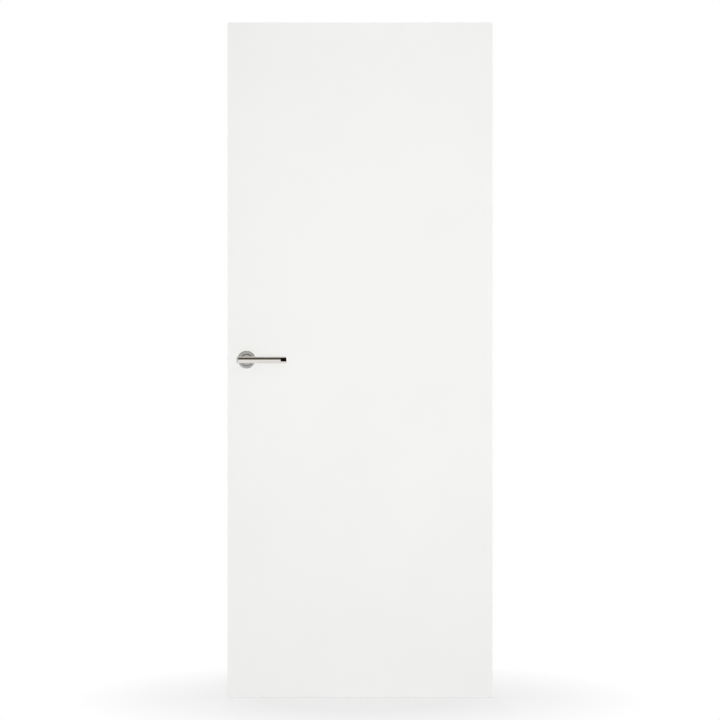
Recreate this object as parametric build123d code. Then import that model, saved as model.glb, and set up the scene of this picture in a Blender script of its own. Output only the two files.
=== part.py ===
from build123d import *
import os

# Flush interior door leaf: two hardboard skins glued on a softwood frame, with a mortise
# latch in its left edge and a bar lever on a round rose on each face.
# Millimetres. +Z is up, X runs across the leaf and the front face looks towards -Y.
# The origin is on the hinge edge, at the foot of the leaf and in the middle of its thickness.

# The leaf and its frame
leaf_width = 830.0
leaf_height = 2115.0
leaf_thickness = 40.0
skin_thickness = 3.0
arris_radius = 1.0
stile_width = 35.0
rail_height = 70.0
lock_block_width = 110.0
lock_block_height = 400.0

# Where the spindle passes through the leaf
backset = 60.0
handle_height = 1058.0
spindle_hole_radius = 12.0

# Latch case, in the mortise. Heights are measured from the spindle.
case_depth = 82.0
case_thickness = 14.0
case_wall = 1.5
case_below_spindle = 40.0
case_above_spindle = 55.0
mortise_clearance = 0.5

# Forend, let in flush with the edge of the leaf
forend_height = 174.0
forend_width = 20.0
forend_thickness = 3.0
forend_clearance = 0.2
forend_screw_spacing = 156.0

# Latch bolt, drawn in. A magnet in the door frame pulls it out by its throw, and the lever draws
# it back by its tail.
running_clearance = 0.3
latch_throw = 12.0
latch_height = 24.0
latch_above_spindle = 25.0
latch_length = 32.0
latch_set_in = 0.5
latch_bevel_length = 11.0
latch_nose = 2.7
tail_height = 6.0
tail_thickness = 4.0
lug_length = 4.7
lug_foot_above_spindle = 12.0

# Follower, turned by the spindle
spindle_side = 8.0
spindle_length = 90.0
follower_radius = 11.0
follower_arm_reach = 17.0
follower_arm_tip_radius = 3.0
follower_arm_thickness = 4.0

# Rose: a fixing plate, a pressed cover over it and a raised collar in the cover's opening
rose_radius = 28.0
rose_height = 8.0
rose_edge_chamfer = 1.6
rose_wall = 1.0
collar_radius = 17.0
collar_rise = 2.5
collar_chamfer = 0.6
collar_gap = 1.8
collar_gap_depth = 4.0
rose_screw_offset = 22.8

# Lever: a round neck welded to a straight tube with a plug at each end, and a black inlay
# in the far one
neck_radius = 9.0
neck_foot = 0.5
grip_radius = 10.0
grip_wall = 1.5
grip_standoff = 46.0
grip_past_spindle = 24.0
grip_reach = 126.0
tip_length = 18.0
tip_edge_chamfer = 1.0
inlay_height = 10.0
inlay_depth = 5.0
heel_thickness = 2.0
heel_edge_chamfer = 0.8
plug_depth = 12.0
grub_radius = 2.5
grub_standoff = 18.0
grub_socket_side = 2.5
grub_socket_depth = 2.0

# Countersunk wood screws
screw_shank_radius = 1.75
screw_head_radius = 3.5
screw_head_height = 2.0
rose_screw_length = 15.0
forend_screw_length = 28.0
screw_slot_width = 0.9
screw_slot_depth = 0.8

# Sizes that follow
core_thickness = leaf_thickness - 2 * skin_thickness
lock_edge = -leaf_width
spindle_x = lock_edge + backset
neck_bore_radius = neck_radius + running_clearance
case_front = lock_edge + forend_thickness
case_back = case_front + case_depth
case_inner_thickness = case_thickness - 2 * case_wall
case_height = case_below_spindle + case_above_spindle
case_middle = handle_height + (case_above_spindle - case_below_spindle) / 2
latch_thickness = case_inner_thickness - 2 * running_clearance
latch_middle = handle_height + latch_above_spindle
latch_tip = lock_edge + latch_set_in
lug_front = spindle_x + follower_arm_tip_radius + running_clearance + latch_throw


def box_between(low, high):
    """A block from its lowest corner to its highest."""
    size = [b - a for a, b in zip(low, high)]
    middle = [(a + b) / 2 for a, b in zip(low, high)]
    return Pos(*middle) * Box(*size)


def on_front(shape):
    """Stands a handle piece, drawn with its foot on the XY plane, on the front of the leaf."""
    return Pos(spindle_x, -leaf_thickness / 2, handle_height) * Rot(90, 0, 0) * shape


def on_back(shape):
    """The same piece, mirrored to the back of the leaf."""
    return mirror(on_front(shape), about=Plane.XZ)


def across_leaf(radius, length):
    """A round bar on the spindle's axis, centred in the thickness of the leaf."""
    return Pos(spindle_x, 0, handle_height) * Rot(90, 0, 0) * Cylinder(radius, length)


def edge_plane(height):
    """A drawing plane on the lock edge that looks into the leaf, at a height."""
    return Plane(origin=(lock_edge, 0, height), x_dir=(0, 1, 0), z_dir=(1, 0, 0))


def wood_screw(length):
    """A slotted countersunk screw with its head's face on the XY plane, pointing down."""
    head = Pos(0, 0, -screw_head_height / 2) * Cone(
        screw_shank_radius, screw_head_radius, screw_head_height
    )
    shank = Pos(0, 0, -(screw_head_height + length) / 2) * Cylinder(
        screw_shank_radius, length - screw_head_height
    )
    slot = Pos(0, 0, -screw_slot_depth / 2) * Box(
        2 * screw_head_radius, screw_slot_width, screw_slot_depth
    )
    return head + shank - slot


def wood_screw_hole(length):
    """The hole that the screw fills."""
    head = Pos(0, 0, -screw_head_height / 2) * Cone(
        screw_shank_radius, screw_head_radius, screw_head_height
    )
    shank = Pos(0, 0, -(screw_head_height + length) / 2) * Cylinder(
        screw_shank_radius, length - screw_head_height
    )
    return head + shank


rose_screw_face = rose_height - rose_wall
rose_screw_places = [Pos(0, side * rose_screw_offset, rose_screw_face) for side in (-1, 1)]
forend_screw_places = [
    Location(edge_plane(case_middle + side * forend_screw_spacing / 2)) * Rot(180, 0, 0)
    for side in (-1, 1)
]


def rose_screw_holes():
    """Both screw holes of the front rose."""
    holes = [place * wood_screw_hole(rose_screw_length) for place in rose_screw_places]
    return on_front(Part() + holes)


def forend_screw_holes():
    """Both screw holes of the forend."""
    return Part() + [place * wood_screw_hole(forend_screw_length) for place in forend_screw_places]


def mortise():
    """The pocket that the latch case slides into, with the forend's shallow housing."""
    side = case_thickness / 2 + mortise_clearance
    pocket = box_between(
        (lock_edge, -side, handle_height - case_below_spindle - mortise_clearance),
        (case_back + mortise_clearance, side, handle_height + case_above_spindle + mortise_clearance),
    )
    housing = extrude(
        edge_plane(case_middle)
        * SlotOverall(
            forend_height + 2 * forend_clearance,
            forend_width + 2 * forend_clearance,
            rotation=90,
        ),
        amount=forend_thickness,
    )
    return pocket + housing


def front_skin():
    """The hardboard sheet on the front, with its outer edges eased."""
    sheet = box_between(
        (lock_edge, -leaf_thickness / 2, 0),
        (0, -core_thickness / 2, leaf_height),
    )
    sheet = fillet(sheet.faces().sort_by(Axis.Y)[0].edges(), arris_radius)
    return sheet - across_leaf(spindle_hole_radius, 2 * leaf_thickness) - rose_screw_holes()


def stile(low_x):
    """A full-height upright of the frame."""
    half = core_thickness / 2
    return box_between((low_x, -half, 0), (low_x + stile_width, half, leaf_height))


def rail(low_z):
    """A cross piece of the frame, between the stiles."""
    half = core_thickness / 2
    return box_between(
        (lock_edge + stile_width, -half, low_z),
        (-stile_width, half, low_z + rail_height),
    )


def lock_block():
    """The solid block behind the lock stile that carries the latch and both roses."""
    half = core_thickness / 2
    low_x = lock_edge + stile_width
    block = box_between(
        (low_x, -half, handle_height - lock_block_height / 2),
        (low_x + lock_block_width, half, handle_height + lock_block_height / 2),
    )
    holes = rose_screw_holes()
    bore = across_leaf(spindle_hole_radius, 2 * leaf_thickness)
    return block - mortise() - bore - holes - mirror(holes, about=Plane.XZ)


def latch_passage(low_x, high_x):
    """The opening that the latch bolt runs through."""
    side = latch_thickness / 2 + running_clearance
    half = latch_height / 2 + running_clearance
    return box_between((low_x, -side, latch_middle - half), (high_x, side, latch_middle + half))


def forend():
    """The plate with rounded ends on the edge of the leaf."""
    plate = extrude(
        edge_plane(case_middle) * SlotOverall(forend_height, forend_width, rotation=90),
        amount=forend_thickness,
    )
    return plate - latch_passage(lock_edge, case_front) - forend_screw_holes()


def latch_case():
    """The sheet steel case, open for the latch bolt and bored for the follower."""
    side = case_thickness / 2
    foot = handle_height - case_below_spindle
    head = handle_height + case_above_spindle
    outside = box_between((case_front, -side, foot), (case_back, side, head))
    inside = box_between(
        (case_front + case_wall, case_wall - side, foot + case_wall),
        (case_back - case_wall, side - case_wall, head - case_wall),
    )
    bore = across_leaf(follower_radius + running_clearance, 2 * case_thickness)
    return outside - inside - bore - latch_passage(case_front, case_front + case_wall)


def latch_bolt():
    """The bevelled latch bolt, drawn in, with its tail and the lug that the follower pushes."""
    half = latch_thickness / 2
    low = latch_middle - latch_height / 2
    inner_end = latch_tip + latch_length
    outline = Polyline(
        (latch_tip, -half),
        (inner_end, -half),
        (inner_end, half),
        (latch_tip + latch_bevel_length, half),
        (latch_tip, latch_nose - half),
        close=True,
    )
    head = extrude(Pos(0, 0, low) * make_face(outline), amount=latch_height, dir=(0, 0, 1))
    tail = box_between(
        (inner_end, -tail_thickness / 2, latch_middle - tail_height / 2),
        (lug_front, tail_thickness / 2, latch_middle + tail_height / 2),
    )
    lug = box_between(
        (lug_front, -tail_thickness / 2, handle_height + lug_foot_above_spindle),
        (lug_front + lug_length, tail_thickness / 2, latch_middle + tail_height / 2),
    )
    return head + tail + lug


def spindle():
    """The square bar that joins both levers."""
    return Pos(spindle_x, 0, handle_height) * Box(spindle_side, spindle_length, spindle_side)


def follower():
    """The hub in the case, with the arm that pushes the latch bolt's lug."""
    arm = Pos(spindle_x, 0, handle_height + follower_arm_reach / 2) * Box(
        2 * follower_arm_tip_radius, follower_arm_thickness, follower_arm_reach
    )
    tip = Pos(spindle_x, 0, handle_height + follower_arm_reach) * Rot(90, 0, 0) * Cylinder(
        follower_arm_tip_radius, follower_arm_thickness
    )
    return across_leaf(follower_radius, case_thickness) + arm + tip - spindle()


def rose_plate():
    """The fixing plate under the rose, with a groove that shows as a dark ring in the gap."""
    height = rose_height - rose_wall
    plate = Pos(0, 0, height / 2) * Cylinder(
        rose_radius - rose_wall - running_clearance, height
    )
    bore = Cylinder(neck_bore_radius, 4 * rose_height)
    groove = extrude(
        Pos(0, 0, height - collar_gap_depth)
        * (Circle(collar_radius + collar_gap) - Circle(collar_radius)),
        amount=collar_gap_depth,
    )
    holes = [place * wood_screw_hole(rose_screw_length) for place in rose_screw_places]
    return plate - bore - groove - holes


def rose_cover():
    """The pressed cover, with a round opening for the collar."""
    disc = extrude(Circle(rose_radius), amount=rose_height)
    disc = chamfer(disc.edges().group_by(Axis.Z)[-1], rose_edge_chamfer)
    inside = extrude(Circle(rose_radius - rose_wall), amount=rose_height - rose_wall)
    return disc - inside - Cylinder(collar_radius + collar_gap, 4 * rose_height)


def rose_collar():
    """The raised collar on the fixing plate, which the neck turns in."""
    foot = rose_height - rose_wall
    collar = extrude(Pos(0, 0, foot) * Circle(collar_radius), amount=rose_wall + collar_rise)
    collar = chamfer(collar.edges().group_by(Axis.Z)[-1], collar_chamfer)
    return collar - Cylinder(neck_bore_radius, 4 * rose_height)


def rose_screws():
    """The two screws that hold the fixing plate to the leaf."""
    return Part() + [place * wood_screw(rose_screw_length) for place in rose_screw_places]


def grip_axis():
    """The line that the grip is drawn along."""
    return Pos(0, 0, grip_standoff) * Rot(0, 90, 0)


def grip_span(radius, low_x, high_x):
    """A round bar along the grip between two places."""
    bar = Cylinder(radius, high_x - low_x, align=(Align.CENTER, Align.CENTER, Align.MIN))
    return grip_axis() * Pos(0, 0, low_x) * bar


def grub_hole():
    """The tapped hole in the underside of the neck."""
    reach = neck_radius - spindle_side / 2
    middle = -(neck_radius + spindle_side / 2) / 2
    return Pos(0, middle, grub_standoff) * Rot(90, 0, 0) * Cylinder(grub_radius, reach)


def lever_neck():
    """The neck, hollowed at its head to fit round the grip and at its foot for the spindle."""
    neck = Pos(0, 0, (neck_foot + grip_standoff) / 2) * Cylinder(
        neck_radius, grip_standoff - neck_foot
    )
    socket_depth = (spindle_length - leaf_thickness) / 2
    socket = Pos(0, 0, socket_depth / 2) * Box(spindle_side, spindle_side, socket_depth)
    seat = grip_span(grip_radius, -grip_past_spindle, grip_reach)
    return neck - socket - seat - grub_hole()


def grub_screw():
    """The hexagon socket screw that locks the neck on the spindle."""
    middle_of_socket = -neck_radius + grub_socket_depth / 2
    socket = extrude(
        RegularPolygon(grub_socket_side / 2, 6, major_radius=False), amount=grub_socket_depth
    )
    socket = Pos(0, 0, -grub_socket_depth / 2) * socket
    return grub_hole() - Pos(0, middle_of_socket, grub_standoff) * Rot(90, 0, 0) * socket


def lever_grip():
    """The straight tube that the hand holds."""
    low_x = heel_thickness - grip_past_spindle
    high_x = grip_reach - tip_length
    return grip_span(grip_radius, low_x, high_x) - grip_span(grip_radius - grip_wall, low_x, high_x)


def lever_heel():
    """The plug that closes the short end of the grip."""
    face = -grip_past_spindle
    seat = face + heel_thickness
    disc = grip_span(grip_radius, face, seat)
    disc = chamfer(disc.edges().sort_by(Axis.X)[0], heel_edge_chamfer)
    return disc + grip_span(grip_radius - grip_wall, seat, seat + plug_depth)


def end_cap():
    """The solid end of the grip, before the inlay is let into it."""
    cap = grip_span(grip_radius, grip_reach - tip_length, grip_reach)
    return chamfer(cap.edges().sort_by(Axis.X)[-1], tip_edge_chamfer)


def inlay_pocket():
    """The slot for the inlay, along the side of the end that faces away from the leaf."""
    floor = grip_standoff + grip_radius - inlay_depth
    return box_between(
        (grip_reach - tip_length, -inlay_height / 2, floor),
        (grip_reach, inlay_height / 2, floor + 2 * inlay_depth),
    )


def lever_tip():
    """The end of the grip, with the plug that holds it in the tube."""
    seat = grip_reach - tip_length
    plug = grip_span(grip_radius - grip_wall, seat - plug_depth, seat)
    return end_cap() - inlay_pocket() + plug


def lever_inlay():
    """The black inlay, flush with the round of the end."""
    return end_cap() & inlay_pocket()


def forend_screws():
    """The two screws that hold the forend to the lock stile."""
    return Part() + [place * wood_screw(forend_screw_length) for place in forend_screw_places]


fitted_once = {
    "front_skin": front_skin(),
    "back_skin": mirror(front_skin(), about=Plane.XZ),
    "lock_stile": stile(lock_edge) - mortise() - forend_screw_holes(),
    "hinge_stile": stile(-stile_width),
    "top_rail": rail(leaf_height - rail_height),
    "bottom_rail": rail(0),
    "lock_block": lock_block(),
    "latch_case": latch_case(),
    "forend": forend(),
    "forend_screws": forend_screws(),
    "latch_bolt": latch_bolt(),
    "follower": follower(),
    "spindle": spindle(),
}

fitted_on_both_faces = {
    "rose_plate": rose_plate(),
    "rose_cover": rose_cover(),
    "rose_collar": rose_collar(),
    "rose_screws": rose_screws(),
    "lever_neck": lever_neck(),
    "lever_grub_screw": grub_screw(),
    "lever_grip": lever_grip(),
    "lever_heel": lever_heel(),
    "lever_tip": lever_tip(),
    "lever_inlay": lever_inlay(),
}

os.makedirs("parts", exist_ok=True)
for name, piece in fitted_once.items():
    export_step(piece, f"parts/{name}.step")
for name, piece in fitted_on_both_faces.items():
    export_step(on_front(piece), f"parts/front_{name}.step")
    export_step(on_back(piece), f"parts/back_{name}.step")
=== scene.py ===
"""Finishes, studio and camera for a flush hardboard door with bar levers on round roses."""

import math

import bpy
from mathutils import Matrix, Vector


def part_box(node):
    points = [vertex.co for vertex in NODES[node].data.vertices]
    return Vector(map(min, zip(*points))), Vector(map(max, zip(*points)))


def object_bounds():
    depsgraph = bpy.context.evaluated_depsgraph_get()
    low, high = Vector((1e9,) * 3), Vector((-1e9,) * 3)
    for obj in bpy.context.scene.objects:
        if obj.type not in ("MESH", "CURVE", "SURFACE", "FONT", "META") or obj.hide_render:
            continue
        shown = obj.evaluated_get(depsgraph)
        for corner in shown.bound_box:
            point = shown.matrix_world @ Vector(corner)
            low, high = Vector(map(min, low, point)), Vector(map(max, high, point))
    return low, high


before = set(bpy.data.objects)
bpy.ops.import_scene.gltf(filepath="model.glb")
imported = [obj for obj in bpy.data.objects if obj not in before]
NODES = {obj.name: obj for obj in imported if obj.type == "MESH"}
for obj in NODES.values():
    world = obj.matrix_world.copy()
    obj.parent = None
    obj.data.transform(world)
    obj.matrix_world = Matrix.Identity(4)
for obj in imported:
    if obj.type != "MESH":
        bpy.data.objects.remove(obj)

bl_info = {
    "name": "Hardboard interior door",
    "version": (1, 0, 0),
    "blender": (4, 5, 0),
    "location": "3D Viewport > Sidebar > Door",
    "description": "Paints and plates a flush hardboard door, and sets it in a plain studio",
    "category": "Object",
}

MM = 0.001
MICRON = 0.000001
CAD_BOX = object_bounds()
LEAF_LOW, LEAF_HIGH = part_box("front_skin")
ROSE_LOW, ROSE_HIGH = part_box("front_rose_cover")
SPINDLE_AXIS = (ROSE_LOW + ROSE_HIGH) / 2

# The photograph: a square picture whose leaf is 675 pixels high
PICTURE_SIDE = 720
LEAF_IN_PICTURE = 675

# Which way lines or grain run
ALONG_X = 0
ALONG_Y = 1
ALONG_Z = 2

# Nearly all values of a noise lie in this span
PATTERN_SPAN = {"From Min": 0.3, "From Max": 0.7}

# Places of the Mix node's colour sockets, whose names its other sockets have too
MIX_FIRST = 6
MIX_SECOND = 7
MIX_RESULT = 2

# Lamps, in metres from the middle of the front skin: to the right, towards the back and up
KEY_PLACE = (0.3, -5.2, 0.03)
KEY_SIZE = 0.45
UPPER_PLACE = (0.2, -3.0, 1.9)
UPPER_SIZE = 1.8
REAR_PLACE = (-0.6, 5.0, 0.6)
REAR_SIZE = 0.9
EDGE_LAMP_SIZE = 0.3

# The floor, in metres from the foot of the door. Paleness is the white mixed in beside the door.
FLOOR_RADIUS = 60
FLOOR_SHOWS_TO = 0.3
FLOOR_WHITE_FROM = 0.9
FLOOR_PALENESS = 0.7


def linear(hex_colour):
    """An sRGB hex colour as the linear values that Blender's sockets take."""
    values = [int(hex_colour[i : i + 2], 16) / 255 for i in (1, 3, 5)]
    return tuple(v / 12.92 if v <= 0.04045 else ((v + 0.055) / 1.055) ** 2.4 for v in values)


def add_node(tree, kind, settings=None, links=None):
    """Adds a node, sets its sockets or attributes by name, and links outputs to its inputs. A
    socket that shares its name with another one of the node is given by its place."""
    node = tree.nodes.new(kind)
    for name, value in (settings or {}).items():
        if isinstance(name, int) or name in node.inputs:
            node.inputs[name].default_value = value
        else:
            setattr(node, name, value)
    for name, output in (links or {}).items():
        tree.links.new(output, node.inputs[name])
    return node


def new_material(name):
    """An empty node material, its tree and its Object coordinates."""
    material = bpy.data.materials.new(name)
    material.use_nodes = True
    material.node_tree.nodes.clear()
    coordinates = add_node(material.node_tree, "ShaderNodeTexCoord")
    return material, material.node_tree, coordinates.outputs["Object"]


def give_surface(tree, settings, links):
    """Gives a material its surface: a shader with these settings and links, joined to the output."""
    shader = add_node(tree, "ShaderNodeBsdfPrincipled", settings, links)
    add_node(tree, "ShaderNodeOutputMaterial", links={"Surface": shader.outputs["BSDF"]})


def drawn_out(axis, times):
    """A stretch that makes a pattern that many times longer along one axis."""
    stretch = [1.0, 1.0, 1.0]
    stretch[axis] = times
    return stretch


def pattern(tree, where, size, detail=2.0, stretch=(1, 1, 1)):
    """An uneven pattern of marks about that size in metres, made longer by stretch on each axis."""
    scale = [1 / size / times for times in stretch]
    placed = add_node(tree, "ShaderNodeMapping", {"Scale": scale}, {"Vector": where})
    return add_node(
        tree,
        "ShaderNodeTexNoise",
        {"Scale": 1.0, "Detail": detail, "Roughness": 0.5},
        {"Vector": placed.outputs["Vector"]},
    ).outputs["Fac"]


def two_tone(tree, marks, shade, colour):
    """A colour that runs from the shade to the colour as a pattern's marks rise."""
    share = add_node(tree, "ShaderNodeMapRange", PATTERN_SPAN, {"Value": marks})
    return add_node(
        tree,
        "ShaderNodeMix",
        {
            "data_type": "RGBA",
            MIX_FIRST: (*linear(shade), 1),
            MIX_SECOND: (*linear(colour), 1),
        },
        {"Factor": share.outputs["Result"]},
    ).outputs[MIX_RESULT]


def smeared_gloss(tree, where, smear_size, smoothest, roughest):
    """A roughness that wanders between two values over smears of that size."""
    smears = pattern(tree, where, smear_size, detail=4.0)
    return add_node(
        tree,
        "ShaderNodeMapRange",
        {**PATTERN_SPAN, "To Min": smoothest, "To Max": roughest},
        {"Value": smears},
    ).outputs["Result"]


def paint_on_hardboard(name, paint):
    """Factory satin lacquer on hardboard: nearly flat, with the faint orange peel of a roller."""
    patch_size = 350 * MM
    wave_size = 120 * MM
    wave_depth = 60 * MICRON
    smear_size = 20 * MM
    smoothest = paint.roughness - 0.04
    roughest = paint.roughness + 0.04
    material, tree, where = new_material(name)
    patches = pattern(tree, where, patch_size, detail=3.0)
    # A roller leaves dimples of about 2 mm, and the sheet itself waves over a hand's width
    dimples = pattern(tree, where, paint.peel_size, detail=3.0)
    waves = pattern(tree, where, wave_size)
    peel = add_node(tree, "ShaderNodeBump", {"Distance": paint.peel_depth}, {"Height": dimples})
    relief = add_node(
        tree,
        "ShaderNodeBump",
        {"Distance": wave_depth},
        {"Height": waves, "Normal": peel.outputs["Normal"]},
    )
    give_surface(
        tree,
        {"IOR": paint.refraction},
        {
            "Base Color": two_tone(tree, patches, paint.shade, paint.colour),
            "Roughness": smeared_gloss(tree, where, smear_size, smoothest, roughest),
            "Normal": relief.outputs["Normal"],
        },
    )
    return material


def paint_on_softwood(name, paint, grain_axis):
    """The same lacquer on the pine edges, where the grain shows through the thinner coat."""
    grain_width = 1.3 * MM
    grain_times_longer = 45.0
    grain_depth = 50 * MICRON
    late_wood_roughness = paint.roughness - 0.02
    early_wood_roughness = paint.roughness + 0.12
    material, tree, where = new_material(name)
    along_grain = drawn_out(grain_axis, grain_times_longer)
    grain = pattern(tree, where, grain_width, detail=4.0, stretch=along_grain)
    dimples = pattern(tree, where, paint.peel_size, detail=3.0)
    ridges = add_node(tree, "ShaderNodeBump", {"Distance": grain_depth}, {"Height": grain})
    relief = add_node(
        tree,
        "ShaderNodeBump",
        {"Distance": paint.peel_depth},
        {"Height": dimples, "Normal": ridges.outputs["Normal"]},
    )
    # The soft early wood drinks the lacquer and dries duller than the dense late wood
    roughness = add_node(
        tree,
        "ShaderNodeMapRange",
        {**PATTERN_SPAN, "To Min": late_wood_roughness, "To Max": early_wood_roughness},
        {"Value": grain},
    )
    give_surface(
        tree,
        {"IOR": paint.refraction},
        {
            "Base Color": two_tone(tree, grain, paint.edge_shade, paint.colour),
            "Roughness": roughness.outputs["Result"],
            "Normal": relief.outputs["Normal"],
        },
    )
    return material


def bare_pine(name):
    """Planed pine: pale early wood and darker late wood in long streaks."""
    late_wood = "#B98A52"
    early_wood = "#DDB888"
    grain_width = 2.5 * MM
    grain_times_longer = 60.0
    grain_depth = 40 * MICRON
    material, tree, where = new_material(name)
    along_grain = drawn_out(ALONG_Z, grain_times_longer)
    grain = pattern(tree, where, grain_width, detail=5.0, stretch=along_grain)
    ridges = add_node(tree, "ShaderNodeBump", {"Distance": grain_depth}, {"Height": grain})
    give_surface(
        tree,
        {"Roughness": 0.7},
        {
            "Base Color": two_tone(tree, grain, late_wood, early_wood),
            "Normal": ridges.outputs["Normal"],
        },
    )
    return material


def polished_plate(name, colour, roughness, line_size, line_axis, line_depth):
    """Plated metal polished on a wheel: a bright coat with fine lines along one axis and faint
    smears where hands have been. Real polishing lines are about a tenth as wide, and are drawn
    as coarse as they need to be to show."""
    line_times_longer = 80.0
    smear_size = 9 * MM
    wiped = roughness * 0.75
    smeared = roughness * 1.35
    material, tree, where = new_material(name)
    along_lines = drawn_out(line_axis, line_times_longer)
    lines = pattern(tree, where, line_size, detail=3.0, stretch=along_lines)
    relief = add_node(tree, "ShaderNodeBump", {"Distance": line_depth}, {"Height": lines})
    give_surface(
        tree,
        {"Base Color": (*linear(colour), 1), "Metallic": 1.0},
        {
            "Roughness": smeared_gloss(tree, where, smear_size, wiped, smeared),
            "Normal": relief.outputs["Normal"],
        },
    )
    return material


def spun_plate(name, colour, roughness, ring_spacing, ring_depth):
    """Chrome on a spun brass cup: rings about its centre that catch the light. Real rings are
    finer, and are drawn as coarse as they need to be to show."""
    smear_size = 7 * MM
    wiped = roughness * 0.8
    smeared = roughness * 1.3
    material, tree, where = new_material(name)
    centred = add_node(
        tree,
        "ShaderNodeMapping",
        {"Location": (-SPINDLE_AXIS.x, 0.0, -SPINDLE_AXIS.z), "Scale": (1.0, 0.0, 1.0)},
        {"Vector": where},
    )
    radius = add_node(
        tree,
        "ShaderNodeVectorMath",
        {"operation": "LENGTH"},
        {"Vector": centred.outputs["Vector"]},
    )
    rings = add_node(
        tree,
        "ShaderNodeTexNoise",
        {"noise_dimensions": "1D", "Scale": 1 / ring_spacing, "Detail": 2.0},
        {"W": radius.outputs["Value"]},
    )
    relief = add_node(
        tree, "ShaderNodeBump", {"Distance": ring_depth}, {"Height": rings.outputs["Fac"]}
    )
    give_surface(
        tree,
        {"Base Color": (*linear(colour), 1), "Metallic": 1.0},
        {
            "Roughness": smeared_gloss(tree, where, smear_size, wiped, smeared),
            "Normal": relief.outputs["Normal"],
        },
    )
    return material


def moulded_plastic(name, colour, roughness, sheen):
    """Moulded black plastic or rubber, with the fine grain of the mould and little reflection."""
    grit_size = 0.4 * MM
    grit_depth = 2 * MICRON
    smoothest = roughness * 0.85
    roughest = roughness * 1.2
    material, tree, where = new_material(name)
    grit = pattern(tree, where, grit_size)
    uneven = add_node(
        tree,
        "ShaderNodeMapRange",
        {**PATTERN_SPAN, "To Min": smoothest, "To Max": roughest},
        {"Value": grit},
    )
    relief = add_node(tree, "ShaderNodeBump", {"Distance": grit_depth}, {"Height": grit})
    give_surface(
        tree,
        {"Base Color": (*linear(colour), 1), "Specular IOR Level": sheen},
        {"Roughness": uneven.outputs["Result"], "Normal": relief.outputs["Normal"]},
    )
    return material


def wear(material, *names):
    """Puts a material on CAD nodes."""
    for name in names:
        slots = NODES[name].data.materials
        slots.clear()
        slots.append(material)


class PaintSettings(bpy.types.PropertyGroup):
    """The lacquer on the leaf"""

    colour: bpy.props.StringProperty(
        name="Colour", description="Lacquer colour, sRGB hex", default="#F8F8F7"
    )
    shade: bpy.props.StringProperty(
        name="Shade",
        description="The lacquer's slightly warmer patches, sRGB hex",
        default="#F6F7F4",
    )
    edge_shade: bpy.props.StringProperty(
        name="Edge shade", description="Thin lacquer over late wood, sRGB hex", default="#EAE8E0"
    )
    roughness: bpy.props.FloatProperty(
        name="Roughness", description="Of the satin lacquer", default=0.46
    )
    refraction: bpy.props.FloatProperty(
        name="Refraction", description="Index of refraction of the lacquer", default=1.5
    )
    peel_size: bpy.props.FloatProperty(
        name="Peel size",
        description="Width of the roller's dimples",
        default=2.2 * MM,
        unit="LENGTH",
    )
    peel_depth: bpy.props.FloatProperty(
        name="Peel depth",
        description="Depth of the roller's dimples",
        default=18 * MICRON,
        unit="LENGTH",
    )


class MetalSettings(bpy.types.PropertyGroup):
    """Colours of the handles, the forend and the inlay"""

    lever_colour: bpy.props.StringProperty(
        name="Lever", description="Warm nickel plate, sRGB hex", default="#E5E1DE"
    )
    rose_colour: bpy.props.StringProperty(
        name="Rose", description="Chrome plate, sRGB hex", default="#E6E8EC"
    )
    steel_colour: bpy.props.StringProperty(
        name="Forend", description="Brushed stainless steel, sRGB hex", default="#BDBBB6"
    )
    inlay_colour: bpy.props.StringProperty(
        name="Inlay", description="Black inlay at the end of the grip, sRGB hex", default="#060606"
    )


class StudioSettings(bpy.types.PropertyGroup):
    """The camera's distance, the lamps and the tent"""

    camera_distance: bpy.props.FloatProperty(
        name="Camera distance",
        description="From the lens to the front of the leaf",
        default=8.0,
        unit="LENGTH",
    )
    key_power: bpy.props.FloatProperty(
        name="Key power",
        description="Lamp in front of the leaf, at about the lever's height",
        default=144.0,
        unit="POWER",
    )
    upper_power: bpy.props.FloatProperty(
        name="Upper power",
        description="Large lamp high in front, for the upper half of the leaf",
        default=9.0,
        unit="POWER",
    )
    rear_power: bpy.props.FloatProperty(
        name="Rear power", description="Lamp that lights the back", default=142.0, unit="POWER"
    )
    edge_power: bpy.props.FloatProperty(
        name="Edge power", description="Each small lamp beside an edge", default=3.5, unit="POWER"
    )
    edge_distance: bpy.props.FloatProperty(
        name="Edge lamp distance",
        description="From the middle of the leaf to each small lamp beside it",
        default=4.5,
        unit="LENGTH",
    )
    top_power: bpy.props.FloatProperty(
        name="Top power", description="Small lamp over the top edge", default=0.35, unit="POWER"
    )
    top_distance: bpy.props.FloatProperty(
        name="Top lamp distance",
        description="From the top edge to the small lamp over it",
        default=1.2,
        unit="LENGTH",
    )
    edge_spread: bpy.props.FloatProperty(
        name="Edge spread",
        description="Opening of each small lamp",
        default=math.radians(45),
        subtype="ANGLE",
    )
    sky_strength: bpy.props.FloatProperty(
        name="Sky strength", description="Even light from all round", default=0.36
    )
    tent_radius: bpy.props.FloatProperty(
        name="Tent radius",
        description="Of the cloth tent that the polished metal mirrors",
        default=9.0,
        unit="LENGTH",
    )


class DOOR_OT_paint_leaf(bpy.types.Operator):
    """Lacquers both hardboard skins and the edges of the frame"""

    bl_idname = "door.paint_leaf"
    bl_label = "Paint the leaf"

    def execute(self, context):
        paint = context.scene.door_paint
        wear(paint_on_hardboard("satin_lacquer_on_hardboard", paint), "front_skin", "back_skin")
        wear(
            paint_on_softwood("satin_lacquer_on_pine_stiles", paint, ALONG_Z),
            "lock_stile",
            "hinge_stile",
        )
        wear(
            paint_on_softwood("satin_lacquer_on_pine_rails", paint, ALONG_X),
            "top_rail",
            "bottom_rail",
        )
        wear(bare_pine("planed_pine"), "lock_block")
        return {"FINISHED"}


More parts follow.
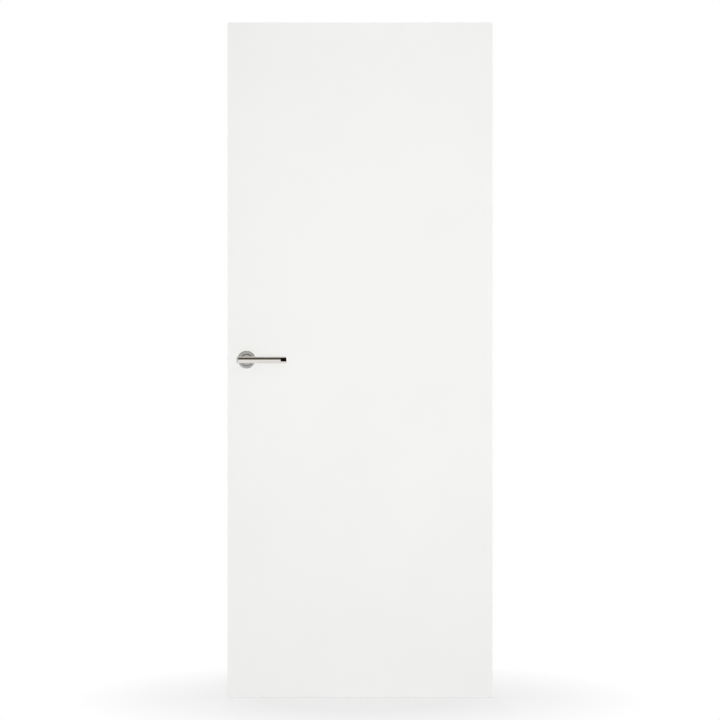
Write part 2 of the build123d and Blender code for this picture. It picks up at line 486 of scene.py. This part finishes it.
class DOOR_OT_plate_handles(bpy.types.Operator):
    """Plates the levers and the roses on both faces"""

    bl_idname = "door.plate_handles"
    bl_label = "Plate the handles"

    def execute(self, context):
        metal = context.scene.door_metal
        # Tube is polished end over end, so its fine lines run along the grip
        lever = polished_plate(
            "polished_nickel_plate",
            metal.lever_colour,
            roughness=0.09,
            line_size=0.25 * MM,
            line_axis=ALONG_X,
            line_depth=1.0 * MICRON,
        )
        # The cover and the collar are spun, so a cooler shine runs round them
        rose = spun_plate(
            "spun_chrome_plate",
            metal.rose_colour,
            roughness=0.13,
            ring_spacing=0.35 * MM,
            ring_depth=2.0 * MICRON,
        )
        # A black inset in the grip's end, and nylon under the cover: black with hardly a shine
        inlay = moulded_plastic(
            "black_inset_in_grip_end", metal.inlay_colour, roughness=0.5, sheen=0.06
        )
        plate = moulded_plastic("black_nylon", "#121213", roughness=0.6, sheen=0.3)
        # Zinc on screws and bars: bluish grey and half bright
        zinc = polished_plate(
            "bright_zinc_plate",
            "#B9BCC0",
            roughness=0.3,
            line_size=0.3 * MM,
            line_axis=ALONG_Y,
            line_depth=2.0 * MICRON,
        )
        # Black oxide on a socket screw: dark grey with a dull shine
        oxide = polished_plate(
            "black_oxide_steel",
            "#3A3835",
            roughness=0.35,
            line_size=0.3 * MM,
            line_axis=ALONG_Y,
            line_depth=2.0 * MICRON,
        )
        for side in ("front", "back"):
            wear(lever, *[f"{side}_lever_{piece}" for piece in ("neck", "grip", "heel", "tip")])
            wear(rose, f"{side}_rose_cover", f"{side}_rose_collar")
            wear(inlay, f"{side}_lever_inlay")
            wear(plate, f"{side}_rose_plate")
            wear(zinc, f"{side}_rose_screws")
            wear(oxide, f"{side}_lever_grub_screw")
        wear(zinc, "spindle", "follower")
        return {"FINISHED"}


class DOOR_OT_finish_latch(bpy.types.Operator):
    """Finishes the latch, its forend and the screws on the lock edge"""

    bl_idname = "door.finish_latch"
    bl_label = "Finish the latch"

    def execute(self, context):
        metal = context.scene.door_metal
        # Stainless sheet brushed along the plate: long streaks that dull what it mirrors
        forend = polished_plate(
            "brushed_stainless",
            metal.steel_colour,
            roughness=0.3,
            line_size=0.35 * MM,
            line_axis=ALONG_Z,
            line_depth=4.0 * MICRON,
        )
        # Nickel on a cast bolt: a little yellow beside the steel
        bolt = polished_plate(
            "nickel_plated_bolt",
            "#C6C0AF",
            roughness=0.2,
            line_size=0.3 * MM,
            line_axis=ALONG_X,
            line_depth=2.0 * MICRON,
        )
        # Nickel on turned screw heads: brighter than the plate they sit in
        screws = polished_plate(
            "nickel_plated_screws",
            "#DCD4C2",
            roughness=0.12,
            line_size=0.3 * MM,
            line_axis=ALONG_Y,
            line_depth=1.0 * MICRON,
        )
        # Zinc on rolled sheet: dull and bluish, seen only through the forend's opening
        case = polished_plate(
            "zinc_plated_case",
            "#B4B7BA",
            roughness=0.35,
            line_size=0.5 * MM,
            line_axis=ALONG_Z,
            line_depth=3.0 * MICRON,
        )
        wear(forend, "forend")
        wear(bolt, "latch_bolt")
        wear(screws, "forend_screws")
        wear(case, "latch_case")
        return {"FINISHED"}


class DOOR_OT_set_studio(bpy.types.Operator):
    """Lays the floor, hangs the lamps and places the camera square to the front"""

    bl_idname = "door.set_studio"
    bl_label = "Set the studio"

    def execute(self, context):
        studio = context.scene.door_studio
        centre = (LEAF_LOW + LEAF_HIGH) / 2
        lay_floor(centre)
        hang_world(context.scene, studio)
        hang_tent(centre, studio)
        hang_lamps(centre, studio)
        place_camera(context.scene, centre, studio)
        context.scene.view_settings.view_transform = "Standard"
        return {"FINISHED"}


def sees_background(tree):
    """1 for a ray that sees the background, straight, in metal or through glass, 0 for light."""
    rays = add_node(tree, "ShaderNodeLightPath")
    either = rays.outputs["Is Camera Ray"]
    for kind in ("Is Glossy Ray", "Is Transmission Ray"):
        either = add_node(
            tree,
            "ShaderNodeMath",
            {"operation": "MAXIMUM"},
            {0: either, 1: rays.outputs[kind]},
        ).outputs["Value"]
    return either


def lay_floor(centre):
    """A pale floor that keeps the door's shadow and fades into the white background."""
    bpy.ops.object.select_all(action="DESELECT")
    bpy.ops.mesh.primitive_circle_add(
        vertices=96,
        radius=FLOOR_RADIUS,
        fill_type="NGON",
        location=(centre.x, 0, CAD_BOX[0].z),
    )
    floor = bpy.context.object
    floor.name = "studio_floor"
    material, tree, where = new_material("matt_white_floor")
    lit = add_node(tree, "ShaderNodeBsdfDiffuse", {"Color": (*linear("#C6C6C5"), 1)})
    white = add_node(
        tree, "ShaderNodeEmission", {"Color": (*linear("#FFFFFF"), 1), "Strength": 1.0}
    )
    distance = add_node(
        tree, "ShaderNodeVectorMath", {"operation": "LENGTH"}, {"Vector": where}
    )
    # The floor shows its own shade close to the door, and is pure white further off
    fade = add_node(
        tree,
        "ShaderNodeMapRange",
        {
            "From Min": FLOOR_SHOWS_TO,
            "From Max": FLOOR_WHITE_FROM,
            "To Min": FLOOR_PALENESS,
            "To Max": 1.0,
        },
        {"Value": distance.outputs["Value"]},
    )
    share = add_node(
        tree,
        "ShaderNodeMath",
        {"operation": "MULTIPLY"},
        {0: fade.outputs["Result"], 1: sees_background(tree)},
    )
    whole = add_node(
        tree,
        "ShaderNodeMixShader",
        links={
            "Fac": share.outputs["Value"],
            1: lit.outputs["BSDF"],
            2: white.outputs["Emission"],
        },
    )
    add_node(tree, "ShaderNodeOutputMaterial", links={"Surface": whole.outputs["Shader"]})
    floor.data.materials.append(material)


def fill_ramp(ramp, shades):
    """Gives a fresh colour ramp its sRGB colours, by place from 0 to 1."""
    for place in list(shades)[1:-1]:
        ramp.elements.new(place)
    for element, shade in zip(ramp.elements, shades.values()):
        element.color = (*linear(shade), 1)


def hang_world(scene, studio):
    """A background that is white to the camera, to metal and through glass, and even soft light
    on everything else."""
    world = bpy.data.worlds.new("studio_world")
    scene.world = world
    world.use_nodes = True
    tree = world.node_tree
    tree.nodes.clear()
    even = add_node(
        tree,
        "ShaderNodeBackground",
        {"Color": (*linear("#FFFFFF"), 1), "Strength": studio.sky_strength},
    )
    white = add_node(
        tree, "ShaderNodeBackground", {"Color": (*linear("#FFFFFF"), 1), "Strength": 1.0}
    )
    whole = add_node(
        tree,
        "ShaderNodeMixShader",
        links={
            "Fac": sees_background(tree),
            1: even.outputs["Background"],
            2: white.outputs["Background"],
        },
    )
    add_node(tree, "ShaderNodeOutputWorld", links={"Surface": whole.outputs["Shader"]})


def hang_tent(centre, studio):
    """A photographer's tent that glows with painted shades, pale at the floor and dark overhead,
    which the metal mirrors in place of the background: the metal's dark and pale bands are painted
    reflections. It shows in reflections alone: it throws no soft light or shadow, and the camera
    looks through it."""
    bpy.ops.object.select_all(action="DESELECT")
    radius = studio.tent_radius
    bpy.ops.mesh.primitive_uv_sphere_add(
        segments=48, ring_count=24, radius=radius, location=(centre.x, 0, SPINDLE_AXIS.z)
    )
    tent = bpy.context.object
    tent.name = "studio_tent"
    material, tree, where = new_material("glowing_tent_of_painted_shades")
    height = add_node(tree, "ShaderNodeSeparateXYZ", links={"Vector": where})
    rise = add_node(
        tree,
        "ShaderNodeMapRange",
        {"From Min": -radius, "From Max": radius},
        {"Value": height.outputs["Z"]},
    )
    cloth = add_node(tree, "ShaderNodeValToRGB", links={"Fac": rise.outputs["Result"]})
    # By height: 0 at the sphere's foot, under the floor, 0.5 at the lever and 1 at its crown
    # Painted shade: the tent glows darker overhead and paler low down, so the metal shows a painted
    # dark reflection above and a pale one below
    shades = {0.0: "#B7B4AC", 0.56: "#B7B4AC", 0.63: "#A8A499", 0.76: "#5C5A4F", 1.0: "#434035"}
    fill_ramp(cloth.color_ramp, shades)
    lit = add_node(
        tree, "ShaderNodeEmission", {"Strength": 1.0}, {"Color": cloth.outputs["Color"]}
    )
    add_node(tree, "ShaderNodeOutputMaterial", links={"Surface": lit.outputs["Emission"]})
    tent.data.materials.append(material)
    tent.visible_camera = False
    tent.visible_diffuse = False
    tent.visible_transmission = False
    tent.visible_shadow = False


def hang_lamp(name, place, target, size, power):
    """A square soft lamp aimed at a point."""
    bpy.ops.object.light_add(type="AREA", location=place)
    lamp = bpy.context.object
    lamp.name = name
    lamp.data.size = size
    lamp.data.energy = power
    lamp.rotation_euler = (Vector(target) - Vector(place)).to_track_quat("-Z", "Y").to_euler()
    lamp.visible_glossy = False
    return lamp


def hang_lamps(centre, studio):
    """Lamps for both faces, and small ones in the plane of the front skin for the leaf's edges."""
    front = centre + Vector(KEY_PLACE)
    raised = centre + Vector(UPPER_PLACE)
    behind = centre + Vector(REAR_PLACE)
    hang_lamp("key_softbox", front, centre, KEY_SIZE, studio.key_power)
    hang_lamp("upper_softbox", raised, centre, UPPER_SIZE, studio.upper_power)
    hang_lamp("rear_softbox", behind, centre, REAR_SIZE, studio.rear_power)
    beside = Vector((studio.edge_distance, 0, 0))
    above = Vector((centre.x, centre.y, LEAF_HIGH.z + studio.top_distance))
    for name, place, power in (
        ("lock_edge_lamp", centre - beside, studio.edge_power),
        ("hinge_edge_lamp", centre + beside, studio.edge_power),
        ("top_edge_lamp", above, studio.top_power),
    ):
        lamp = hang_lamp(name, place, centre, EDGE_LAMP_SIZE, power)
        lamp.data.spread = studio.edge_spread


def place_camera(scene, centre, studio):
    """A long lens square to the leaf, with the leaf as high in the frame as in the picture."""
    bpy.ops.object.camera_add(
        location=(centre.x, LEAF_LOW.y - studio.camera_distance, centre.z),
        rotation=(math.radians(90), 0, 0),
    )
    camera = bpy.context.object
    scene.camera = camera
    view_height = (LEAF_HIGH.z - LEAF_LOW.z) * PICTURE_SIDE / LEAF_IN_PICTURE
    camera.data.sensor_width = 36.0
    camera.data.lens = camera.data.sensor_width * studio.camera_distance / view_height
    camera.data.clip_end = 200


class DOOR_PT_panel(bpy.types.Panel):
    """Lists the settings and the operators in the sidebar"""

    bl_idname = "DOOR_PT_panel"
    bl_label = "Hardboard door"
    bl_space_type = "VIEW_3D"
    bl_region_type = "UI"
    bl_category = "Door"

    def draw(self, context):
        for group in (
            context.scene.door_paint,
            context.scene.door_metal,
            context.scene.door_studio,
        ):
            box = self.layout.box()
            for name in group.__annotations__:
                box.prop(group, name)
        for operator in OPERATORS:
            self.layout.operator(operator.bl_idname)


OPERATORS = (
    DOOR_OT_paint_leaf,
    DOOR_OT_plate_handles,
    DOOR_OT_finish_latch,
    DOOR_OT_set_studio,
)
GROUPS = {
    "door_paint": PaintSettings,
    "door_metal": MetalSettings,
    "door_studio": StudioSettings,
}


def register():
    for group in GROUPS.values():
        bpy.utils.register_class(group)
    for name, group in GROUPS.items():
        setattr(bpy.types.Scene, name, bpy.props.PointerProperty(type=group))
    for operator in OPERATORS:
        bpy.utils.register_class(operator)
    bpy.utils.register_class(DOOR_PT_panel)


def unregister():
    bpy.utils.unregister_class(DOOR_PT_panel)
    for operator in reversed(OPERATORS):
        bpy.utils.unregister_class(operator)
    for name, group in GROUPS.items():
        delattr(bpy.types.Scene, name)
        bpy.utils.unregister_class(group)


def main():
    register()
    bpy.ops.door.paint_leaf()
    bpy.ops.door.plate_handles()
    bpy.ops.door.finish_latch()
    bpy.ops.door.set_studio()


if __name__ == "__main__":
    main()
